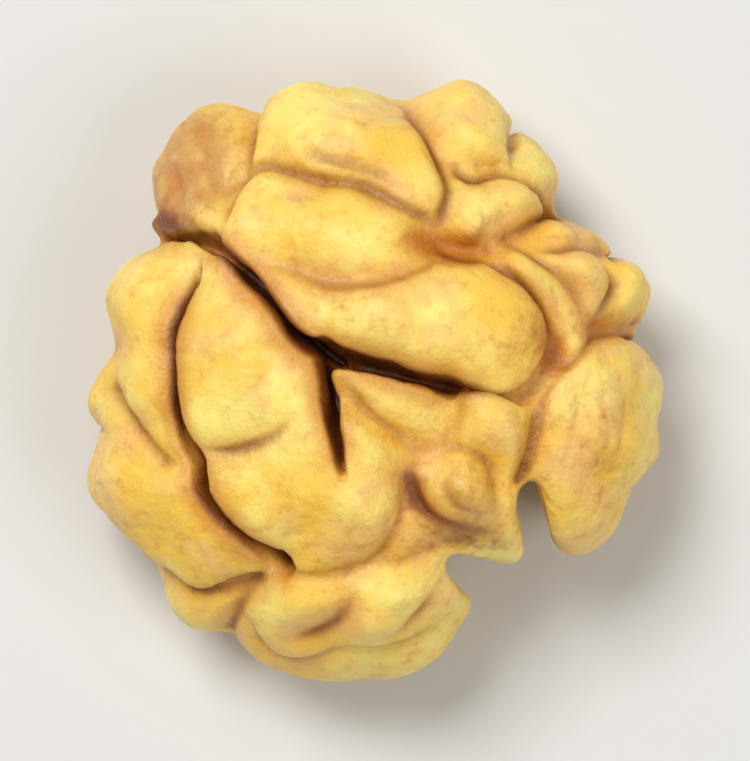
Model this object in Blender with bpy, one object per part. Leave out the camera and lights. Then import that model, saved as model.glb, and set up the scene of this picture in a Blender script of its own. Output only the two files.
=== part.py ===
"""A shelled walnut kernel: one half, lying on its hollow side with the folded, domed side up.

Everything is in metres with +Z up. Paths and places are written in millimetres and scaled by MM.
Seen from above, +X is to the right, +Y is up and the nut's pointed end is at the upper left.
"""

import math
from typing import NamedTuple

import bmesh
import bpy
import numpy as np
from mathutils import Matrix, Vector

MM = 0.001

# The smooth body under the folds: half an egg above the rim, a flatter half below it.
HALF_WIDTH = 15.9
HALF_LENGTH = 16.6
RIM_HEIGHT = 5.6
DOME_HEIGHT = 10.3
UNDER_DEPTH = 9.4

# The lobes around the rim: the radius in each direction, in degrees from +X.
RIM = [
    (-180, 15.6), (-174, 16.4), (-167, 16.0), (-160, 17.0), (-145, 16.0), (-133, 16.8), (-124, 17.0),
    (-118, 16.2), (-111, 16.4), (-99, 16.8), (-87, 16.9), (-76, 15.9), (-66, 14.4), (-58, 12.9),
    (-52, 13.3), (-46, 13.9), (-40, 15.5), (-33, 16.2), (-26, 16.0), (-16, 16.9), (-9, 15.8),
    (0, 16.3), (10, 15.4), (17, 15.9), (25, 15.3), (32, 15.7), (40, 14.9), (48, 15.7), (60, 16.6),
    (74, 17.2), (86, 16.1), (95, 17.0), (104, 17.0), (114, 15.7), (120, 17.3), (128, 18.0),
    (137, 17.4), (146, 14.8), (155, 15.5), (163, 15.8), (173, 14.9), (180, 15.6),
]
RIM_STARTS = 0.55
RIM_FULL = 0.90
# Creases drawn from above stay inside this share of the rim, and swellings fade out over this height.
MOST_OUT = 0.99
SWELLING_FADE = 4.0

# The solid's fineness: the ball that is shaped, then how many faces are kept.
BALL_SUBDIVISIONS = 6
CUTTER_SUBDIVISIONS = 4
SURFACE_TRIANGLES = 5600
SMOOTHING_ROUNDS = 4
SAMPLE_SPACING = 0.6
SIDE_SAMPLE_SPACING = 3.0

KERNEL_COLOUR = (0.80, 0.50, 0.13, 1.0)
KERNEL_ROUGHNESS = 0.48


class Crease(NamedTuple):
    """A line where two folds meet. Each point of the path is x, y and a share of the full depth."""

    path: list
    depth: float
    width: float
    roll: float
    spread: float


class Swelling(NamedTuple):
    """A broad rise, or with a negative height a dip, of the domed side."""

    x: float
    y: float
    half_length: float
    half_width: float
    yaw: float
    height: float


CREASES = {
    "main_groove": Crease(
        [(-13.4, 8.9, 0.7), (-10.5, 8.1, 0.5), (-7.9, 6.7, 1.0), (-5.2, 3.6, 1.1), (-2.6, 1.1, 1.25),
         (1.3, -0.3, 0.9), (4.2, -1.1, 0.9), (6.8, -1.5, 0.3), (8.3, -1.2, 0.1)],
        depth=2.21, width=0.7, roll=0.63, spread=1.8,
    ),
    "side_branch": Crease(
        [(-2.9, 1.6, 1.1), (-2.2, -0.5, 1.1), (-1.6, -2.4, 1.0), (-1.3, -4.2, 0.7), (-1.0, -5.3, 0.1)],
        depth=1.87, width=0.7, roll=0.49, spread=1.4,
    ),
    "left_groove": Crease(
        [(-9.4, 6.3, 0.0), (-10.2, 4.1, 0.8), (-10.7, 0.0, 1.0), (-10.2, -3.5, 0.9), (-9.1, -6.1, 1.0),
         (-6.6, -9.1, 1.0), (-5.4, -10.4, 0.9), (-3.8, -10.7, 0.6), (-1.3, -10.2, 0.6), (1.0, -8.6, 0.6),
         (2.0, -6.6, 0.8), (1.6, -4.2, 0.0)],
        depth=1.1, width=0.7, roll=0.56, spread=1.4,
    ),
    "upper_fold": Crease(
        [(-9.2, 11.2, 0.8), (-7.4, 12.0, 0.9), (-3.3, 11.8, 1.0), (-0.2, 10.6, 0.9), (2.8, 9.0, 1.0),
         (4.0, 8.3, 0.6)],
        depth=0.59, width=0.7, roll=0.56, spread=1.5,
    ),
    "top_notch": Crease(
        [(1.0, 17.0, 0.4), (2.0, 14.6, 0.8), (3.7, 11.5, 1.0), (3.3, 8.4, 0.9), (4.4, 6.6, 0.9),
         (6.6, 6.4, 0.7)],
        depth=0.68, width=0.7, roll=0.63, spread=1.5,
    ),
    "right_ridge": Crease(
        [(6.2, 7.4, 0.5), (7.4, 5.1, 1.0), (9.4, 2.1, 1.0), (10.2, 0.6, 0.9), (12.2, 2.1, 0.8),
         (16.2, 3.1, 1.0)],
        depth=0.77, width=0.7, roll=0.63, spread=1.4,
    ),
    "right_fold": Crease(
        [(10.0, 0.9, 0.8), (8.9, -1.5, 0.9), (8.5, -4.0, 1.1), (8.4, -5.6, 1.2)],
        depth=0.94, width=0.7, roll=0.63, spread=1.2,
    ),
    "left_fold": Crease(
        [(-9.6, -4.4, 0.9), (-11.5, -4.3, 0.8), (-13.3, -2.7, 0.9), (-14.9, -0.7, 1.0)],
        depth=0.68, width=0.7, roll=0.49, spread=1.3,
    ),
    "middle_fold": Crease(
        [(-9.4, -3.7, 0.9), (-7.6, -3.9, 1.0), (-4.6, -2.5, 0.6), (-3.7, -1.4, 0.0)],
        depth=0.17, width=0.7, roll=0.28, spread=1.0,
    ),
    "corner_fold": Crease(
        [(4.0, 11.2, 0.6), (6.2, 11.1, 0.9), (9.4, 10.2, 0.9), (11.6, 9.4, 1.0)],
        depth=0.42, width=0.7, roll=0.42, spread=1.0,
    ),
    "knob_fold": Crease(
        [(9.9, 8.7, 0.6), (11.4, 7.9, 0.8), (12.6, 6.4, 0.8), (15.2, 5.2, 0.9)],
        depth=0.42, width=0.7, roll=0.49, spread=1.0,
    ),
    "nodule_ring": Crease(
        [(2.0, -6.8, 0.9), (2.4, -4.6, 0.8), (4.6, -3.8, 0.8), (6.6, -5.0, 0.9), (6.9, -7.4, 0.9)],
        depth=0.68, width=0.7, roll=0.56, spread=0.9,
    ),
    "lower_left_fold": Crease(
        [(-5.4, -10.4, 0.8), (-8.4, -11.8, 0.9), (-11.7, -10.7, 1.0), (-13.0, -9.9, 1.0)],
        depth=0.51, width=0.7, roll=0.56, spread=1.2,
    ),
    "lower_fold": Crease(
        [(-5.4, -10.5, 0.8), (-6.8, -12.9, 1.0), (-7.2, -14.6, 1.0)],
        depth=0.68, width=0.7, roll=0.56, spread=1.2,
    ),
    "low_edge_fold": Crease(
        [(-6.4, -13.6, 0.7), (-2.8, -15.2, 0.9), (1.6, -14.1, 0.9), (4.9, -13.1, 0.7)],
        depth=0.42, width=0.7, roll=0.49, spread=1.1,
    ),
    "tip_fold": Crease(
        [(-8.6, 8.2, 0.5), (-8.2, 11.2, 0.9), (-6.4, 13.8, 1.0), (-5.7, 15.4, 1.0)],
        depth=0.68, width=0.7, roll=0.63, spread=1.2,
    ),
}

SWELLINGS = [
    Swelling(1.5, 4.0, 8.0, 3.2, -8, 0.9),
    Swelling(-2.8, -6.6, 4.6, 3.2, 10, 0.8),
    Swelling(-7.2, 1.2, 3.0, 5.0, 15, 0.6),
    Swelling(-2.6, 13.4, 5.0, 2.4, -10, 0.6),
    Swelling(12.6, -3.0, 2.4, 4.6, 8, 0.9),
    Swelling(1.8, -2.8, 3.4, 2.0, -30, -1.0),
    Swelling(7.0, 9.6, 4.0, 2.2, -20, -0.7),
    Swelling(5.4, -5.5, 4.2, 4.0, 0, -1.1),
    Swelling(4.4, -6.4, 2.0, 2.0, 0, 0.9),
    Swelling(-10.0, 11.6, 3.0, 3.0, 0, -0.9),
    Swelling(-12.8, 2.0, 2.0, 4.4, 0, 0.5),
    Swelling(-11.4, -7.6, 3.4, 3.0, 45, 0.5),
    Swelling(-0.8, -12.6, 5.4, 1.9, 0, 0.5),
]

# Creases that run down the side and under the rim: the direction of each, how far it slants and the
# share of its depth that it has at the rim.
SIDE_CREASES = [
    (86, -4, 0.3), (62, 5, 0.6), (42, -3, 0.8), (27, 4, 0.8), (10, -5, 1.0), (-9, 4, 0.7),
    (-24, -3, 0.7), (-92, 4, 0.3), (-78, -5, 0.5), (-118, 4, 0.4), (-137, -5, 0.7), (-154, 3, 0.6),
    (-168, -4, 0.6), (173, 5, 0.7), (158, -3, 1.0), (145, 3, 0.8), (129, -5, 0.3), (113, 4, 1.0),
    (99, -3, 0.4),
]
# Where a side crease runs: its first latitude, how much that varies, and how far below it is deep.
SIDE_TOP = 16.0
SIDE_TOP_VARIATION = 10.0
SIDE_TOP_TURN = 2.1
SIDE_TOP_LENGTH = 10.0
# Its points under the rim: the share of the slant, the latitude and the share of the full depth.
SIDE_STEPS = [(1.0, -28.0, 0.9), (1.6, -50.0, 1.1), (2.0, -66.0, 0.6)]
SIDE_RIM_LATITUDE = -8.0
SIDE_DEPTH = 0.6
SIDE_WIDTH = 0.75
SIDE_ROLL = 1.0
SIDE_SPREAD = 1.6
CREASE_ROUNDING = 0.35


class Hollow(NamedTuple):
    """An egg-shaped space that is cut away: its centre, half sizes and turn about +Z."""

    centre: tuple
    half_sizes: tuple
    yaw: float


HOLLOWS = {
    "under_recess": Hollow((0.0, 0.0, -2.0), (11.2, 11.8, 6.4), 0),
    "upper_hollow": Hollow((5.3, 5.3, -0.6), (8.8, 5.4, 9.4), -45),
    "lower_hollow": Hollow((-5.4, -5.4, -0.6), (8.8, 5.4, 9.4), -45),
    "right_notch": Hollow((9.0, -9.3, 3.0), (1.05, 4.1, 16.0), 11),
    "bottom_notch": Hollow((7.3, -11.6, 3.0), (4.2, 1.35, 16.0), -24),
}


def smooth_step(t):
    t = np.clip(t, 0.0, 1.0)
    return t * t * (3.0 - 2.0 * t)


def rim_radius(directions, share_out):
    """The rim's radius in each direction, in millimetres: an oval inside, lobed near the edge."""
    oval = 1.0 / np.hypot(np.cos(directions) / HALF_WIDTH, np.sin(directions) / HALF_LENGTH)
    degrees, radii = np.array(RIM, float).T
    lobed = np.interp(np.degrees(directions), degrees, radii)
    share = smooth_step((share_out - RIM_STARTS) / (RIM_FULL - RIM_STARTS))
    return oval + (lobed - oval) * share


def on_body(rays):
    """The points of the smooth body in the directions of these unit rays, and its normals there."""
    flat = np.hypot(rays[:, 0], rays[:, 1])
    radius = rim_radius(np.arctan2(rays[:, 1], rays[:, 0]), flat)
    height = np.where(rays[:, 2] > 0, DOME_HEIGHT, UNDER_DEPTH)
    sizes = np.stack([radius, radius, height], axis=1)
    normals = rays / sizes
    normals /= np.linalg.norm(normals, axis=1, keepdims=True)
    return rays * sizes + [0.0, 0.0, RIM_HEIGHT], normals


def smooth_path(points, spacing):
    """A Catmull-Rom curve through the points, sampled about once every spacing."""
    p = np.array(points, float)
    ends = np.vstack([2 * p[0] - p[1], p, 2 * p[-1] - p[-2]])
    samples = []
    for a, b, c, d in zip(ends, ends[1:], ends[2:], ends[3:]):
        count = max(2, int(np.hypot(*(c - b)[:2]) / spacing))
        for t in np.arange(count) / count:
            line = 2 * b + (c - a) * t
            bend = (2 * a - 5 * b + 4 * c - d) * t**2 + (3 * b - a - 3 * c + d) * t**3
            samples.append(0.5 * (line + bend))
    samples.append(p[-1])
    return np.array(samples)


def rays_from_above(x, y):
    """The unit rays of the body that lie at these places when seen from above."""
    x = np.array(x, float)
    y = np.array(y, float)
    radius = np.hypot(x, y)
    directions = np.arctan2(y, x)
    rim = rim_radius(directions, radius / HALF_WIDTH)
    out = np.minimum(radius / rim, MOST_OUT)
    return np.stack([out * np.cos(directions), out * np.sin(directions), np.sqrt(1 - out**2)], axis=1)


def rays_at_angles(azimuths, latitudes):
    azimuths = np.radians(azimuths)
    latitudes = np.radians(latitudes)
    flat = np.cos(latitudes)
    return np.stack([flat * np.cos(azimuths), flat * np.sin(azimuths), np.sin(latitudes)], axis=1)


def press_crease(points, inward, line, shares, depth, width, roll, spread):
    """Adds to inward how far each point sinks for one crease along the line of body points."""
    groove = np.zeros(len(points))
    shoulder = np.zeros(len(points))
    for a, b, share_a, share_b in zip(line, line[1:], shares, shares[1:]):
        along = b - a
        t = np.clip((points - a) @ along / (along @ along), 0.0, 1.0)
        distance = np.linalg.norm(points - a - t[:, None] * along, axis=1)
        distance = np.hypot(distance, CREASE_ROUNDING)
        share = np.maximum(share_a + (share_b - share_a) * t, 0.0)
        groove = np.maximum(groove, share * np.exp(-((distance / width) ** 2)))
        shoulder = np.maximum(shoulder, share * np.exp(-distance / spread))
    inward += depth * groove + roll * shoulder


def side_path(index, azimuth, slant, at_rim):
    """A crease from above the rim, at its own height, to under it, as azimuth, latitude, share."""
    top = SIDE_TOP + SIDE_TOP_VARIATION * math.sin(SIDE_TOP_TURN * index)
    upper_steps = [(0.0, top, 0.0), (0.2, top - SIDE_TOP_LENGTH, at_rim), (0.6, SIDE_RIM_LATITUDE, at_rim)]
    steps = upper_steps + SIDE_STEPS
    return [(azimuth + turn * slant, latitude, share) for turn, latitude, share in steps]


def kernel_points(rays):
    """Each ray's point on the folded surface, in millimetres."""
    points, normals = on_body(rays)
    inward = np.zeros(len(points))
    for crease in CREASES.values():
        path = smooth_path(crease.path, SAMPLE_SPACING)
        line, _ = on_body(rays_from_above(path[:, 0], path[:, 1]))
        press_crease(points, inward, line, path[:, 2], *crease[1:])
    for index, side in enumerate(SIDE_CREASES):
        path = smooth_path(side_path(index, *side), SIDE_SAMPLE_SPACING)
        line, _ = on_body(rays_at_angles(path[:, 0], path[:, 1]))
        press_crease(points, inward, line, path[:, 2], SIDE_DEPTH, SIDE_WIDTH, SIDE_ROLL, SIDE_SPREAD)
    upper = smooth_step((points[:, 2] - RIM_HEIGHT) / SWELLING_FADE + 0.5)
    for swelling in SWELLINGS:
        yaw = math.radians(swelling.yaw)
        x = points[:, 0] - swelling.x
        y = points[:, 1] - swelling.y
        u = (x * math.cos(yaw) + y * math.sin(yaw)) / swelling.half_length
        v = (y * math.cos(yaw) - x * math.sin(yaw)) / swelling.half_width
        inward -= swelling.height * np.exp(-(u**2) - v**2) * upper
    folded = points - normals * inward[:, None]
    folded[:, 2] = np.maximum(folded[:, 2], 0.0)
    return folded


def kernel_material():
    material = bpy.data.materials.new("walnut_kernel")
    material.use_nodes = True
    shader = material.node_tree.nodes["Principled BSDF"]
    shader.inputs["Base Color"].default_value = KERNEL_COLOUR
    shader.inputs["Roughness"].default_value = KERNEL_ROUGHNESS
    shader.inputs["Metallic"].default_value = 0.0
    return material


def kernel_object():
    """(the folded kernel before its hollows are cut, the place its origin is measured from)"""
    shape = bmesh.new()
    bmesh.ops.create_icosphere(shape, subdivisions=BALL_SUBDIVISIONS, radius=1.0)
    rays = np.array([vertex.co for vertex in shape.verts])
    rays /= np.linalg.norm(rays, axis=1, keepdims=True)
    points = kernel_points(rays)
    middle = (points.min(axis=0) + points.max(axis=0)) / 2
    middle[2] = 0.0
    for vertex, point in zip(shape.verts, (points - middle) * MM):
        vertex.co = point
    mesh = bpy.data.meshes.new("kernel")
    shape.to_mesh(mesh)
    shape.free()
    mesh.shade_smooth()
    mesh.materials.append(kernel_material())
    kernel = bpy.data.objects.new("kernel", mesh)
    bpy.context.scene.collection.objects.link(kernel)
    return kernel, Vector(middle)


def cutter_object(name, hollow, middle):
    """A hidden egg-shaped body that is cut from the kernel."""
    shape = bmesh.new()
    turn = Matrix.Rotation(math.radians(hollow.yaw), 4, "Z") @ Matrix.Diagonal((*hollow.half_sizes, 1.0))
    place = Matrix.Translation(Vector(hollow.centre) - middle) @ turn
    bmesh.ops.create_icosphere(
        shape, subdivisions=CUTTER_SUBDIVISIONS, radius=1.0, matrix=Matrix.Scale(MM, 4) @ place
    )
    mesh = bpy.data.meshes.new(name)
    shape.to_mesh(mesh)
    shape.free()
    cutter = bpy.data.objects.new(name, mesh)
    cutter.hide_render = True
    cutter.display_type = "WIRE"
    bpy.context.scene.collection.objects.link(cutter)
    return cutter


def add_modifiers(kernel, middle):
    """Softer crease lines and fewer faces first, then the hollows, each cut by its own body."""
    softer = kernel.modifiers.new("softer_creases", "SMOOTH")
    softer.iterations = SMOOTHING_ROUNDS
    fewer = kernel.modifiers.new("fewer_faces", "DECIMATE")
    fewer.ratio = SURFACE_TRIANGLES / len(kernel.data.polygons)
    for name, hollow in HOLLOWS.items():
        cut = kernel.modifiers.new(name, "BOOLEAN")
        cut.operation = "DIFFERENCE"
        cut.object = cutter_object(name, hollow, middle)


def main():
    for old in list(bpy.data.objects):
        bpy.data.objects.remove(old)
    kernel, middle = kernel_object()
    add_modifiers(kernel, middle)


main()
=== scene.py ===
"""The looks of a shelled walnut half: its fine folded surface, its skin, and soft studio light.

The form is worked out in millimetres as a field on a grid: how far each grid point lies outside
the flesh. It starts as a smooth egg-shaped body. Swellings raise it, creases press into it, hollows
are cut from it, and the surface where it is zero becomes the mesh, which then gets its wrinkles.
Seen from above, +X is to the right, +Y is up and the nut's pointed end is at the upper left.
"""

import math
from typing import NamedTuple

import bpy
import numpy as np
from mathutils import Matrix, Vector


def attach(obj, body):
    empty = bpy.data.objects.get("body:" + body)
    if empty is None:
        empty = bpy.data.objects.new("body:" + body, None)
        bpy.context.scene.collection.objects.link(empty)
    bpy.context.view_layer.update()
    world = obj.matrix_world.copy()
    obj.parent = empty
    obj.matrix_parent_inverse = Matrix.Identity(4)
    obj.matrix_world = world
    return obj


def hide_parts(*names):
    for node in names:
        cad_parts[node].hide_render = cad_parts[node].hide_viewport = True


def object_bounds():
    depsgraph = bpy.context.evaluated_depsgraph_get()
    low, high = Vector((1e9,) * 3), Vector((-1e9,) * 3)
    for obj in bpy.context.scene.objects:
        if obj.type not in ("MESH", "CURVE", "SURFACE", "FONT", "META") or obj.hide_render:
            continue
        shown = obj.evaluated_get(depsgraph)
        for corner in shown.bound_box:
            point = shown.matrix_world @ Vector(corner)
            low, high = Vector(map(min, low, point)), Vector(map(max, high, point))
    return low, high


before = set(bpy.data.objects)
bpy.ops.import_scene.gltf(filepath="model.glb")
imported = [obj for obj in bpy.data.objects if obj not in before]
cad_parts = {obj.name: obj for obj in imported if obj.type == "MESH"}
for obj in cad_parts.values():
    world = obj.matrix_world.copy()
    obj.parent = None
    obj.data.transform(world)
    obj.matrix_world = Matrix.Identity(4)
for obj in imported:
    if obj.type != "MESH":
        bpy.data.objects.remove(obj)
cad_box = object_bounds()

import openvdb
from mathutils import Vector

MM = 0.001

# The smooth body under the folds: half an egg above the rim, a flatter half below it.
HALF_WIDTH = 15.9
HALF_LENGTH = 16.6
RIM_HEIGHT = 5.6
DOME_HEIGHT = 10.3
UNDER_DEPTH = 9.4

# The lobes around the rim: the radius in each direction, in degrees from +X.
RIM = [
    (-180, 15.6), (-174, 16.4), (-167, 16.0), (-160, 17.0), (-145, 16.0), (-133, 16.8), (-124, 17.0),
    (-118, 16.2), (-111, 16.4), (-99, 16.8), (-87, 16.9), (-76, 15.9), (-66, 14.4), (-58, 12.9),
    (-52, 13.3), (-46, 13.9), (-40, 15.5), (-33, 16.2), (-26, 16.0), (-16, 16.9), (-9, 15.8),
    (0, 16.3), (10, 15.4), (17, 15.9), (25, 15.3), (32, 15.7), (40, 14.9), (48, 15.7), (60, 16.6),
    (74, 17.2), (86, 16.1), (95, 17.0), (104, 17.0), (114, 15.7), (120, 17.3), (128, 18.0),
    (137, 17.4), (146, 14.8), (155, 15.5), (163, 15.8), (173, 14.9), (180, 15.6),
]
# Towards the middle the outline is a plain oval. The lobes set in at the first share of its radius
# and are complete at the second.
RIM_STARTS = 0.55
RIM_FULL = 0.90
# The lobes' corners are rounded over about this many degrees, by averaging this far to each side.
RIM_ROUNDING = 1.6
RIM_ROUNDING_REACH = 6
# A crease's path stays within this share of the rim's radius.
MOST_OUT = 0.99

# The grid that holds the field, and the triangles of the finished mesh.
GRID_LOW = (-18.6, -19.2, -1.0)
GRID_HIGH = (18.6, 19.2, 18.0)
GRID_STEP = 0.17
TRIANGLES = 190_000
# Distances beyond this one aren't needed to find the surface.
FIELD_REACH = 3.0

# A crease is a curtain that hangs into the flesh from its path. The curtain starts this far above
# the path, its folds reach this many spreads out, and a window around it has this much to spare.
CREASE_TOP = 2.5
FOLD_REACH = 3.2
WINDOW_SPARE = 1.0
# The largest share that counts for the curtain's depth, for its slit and for its roll.
MOST_DEPTH_SHARE = 1.3
MOST_SLIT_SHARE = 1.5
MOST_ROLL_SHARE = 1.2
# A slit keeps this part of its width where the share is 0, loses this part down to its foot, and is
# shut where the share is less than the last of these.
SLIT_AT_ENDS = 0.3
SLIT_LOSS = 0.4
SHUT_SHARE = 0.05
SLIT_ROUNDING = 0.3
# How far the brown with painted shade inside a crease and the orange shade painted around it reach.
STAIN_AND_SHADE_WIDTH = 0.5
CREASE_SHADE_WIDTH = 1.3
# A leaning side rises within the first distance of the line and falls off over the second.
LEAN_TURN = 0.3
LEAN_REACH = 2.0
# The length of a path's stretches, in mm on the dome and in degrees on the side.
DOME_SPACING = 0.5
SIDE_SPACING = 2.0


class Crease(NamedTuple):
    """A line where two folds meet. Each point of the path is x, y and a share of the full depth.

    roll is how far the folds sink beside it, spread how wide they do so, dark how brown it is painted
    inside, its skin's brown with painted shade, slit the half-width of its open part, and lean how far its
    left side stands over its right."""

    path: list
    depth: float
    roll: float
    spread: float
    dark: float
    slit: float = 0.0
    lean: float = 0.0


class Swelling(NamedTuple):
    """A broad oval on the domed side. Its height is a rise, a dip where it is negative, or for a patch of
    colour, partly skin and partly painted shade, how strong the colour is in the middle."""

    x: float
    y: float
    half_length: float
    half_width: float
    yaw: float
    height: float


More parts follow.
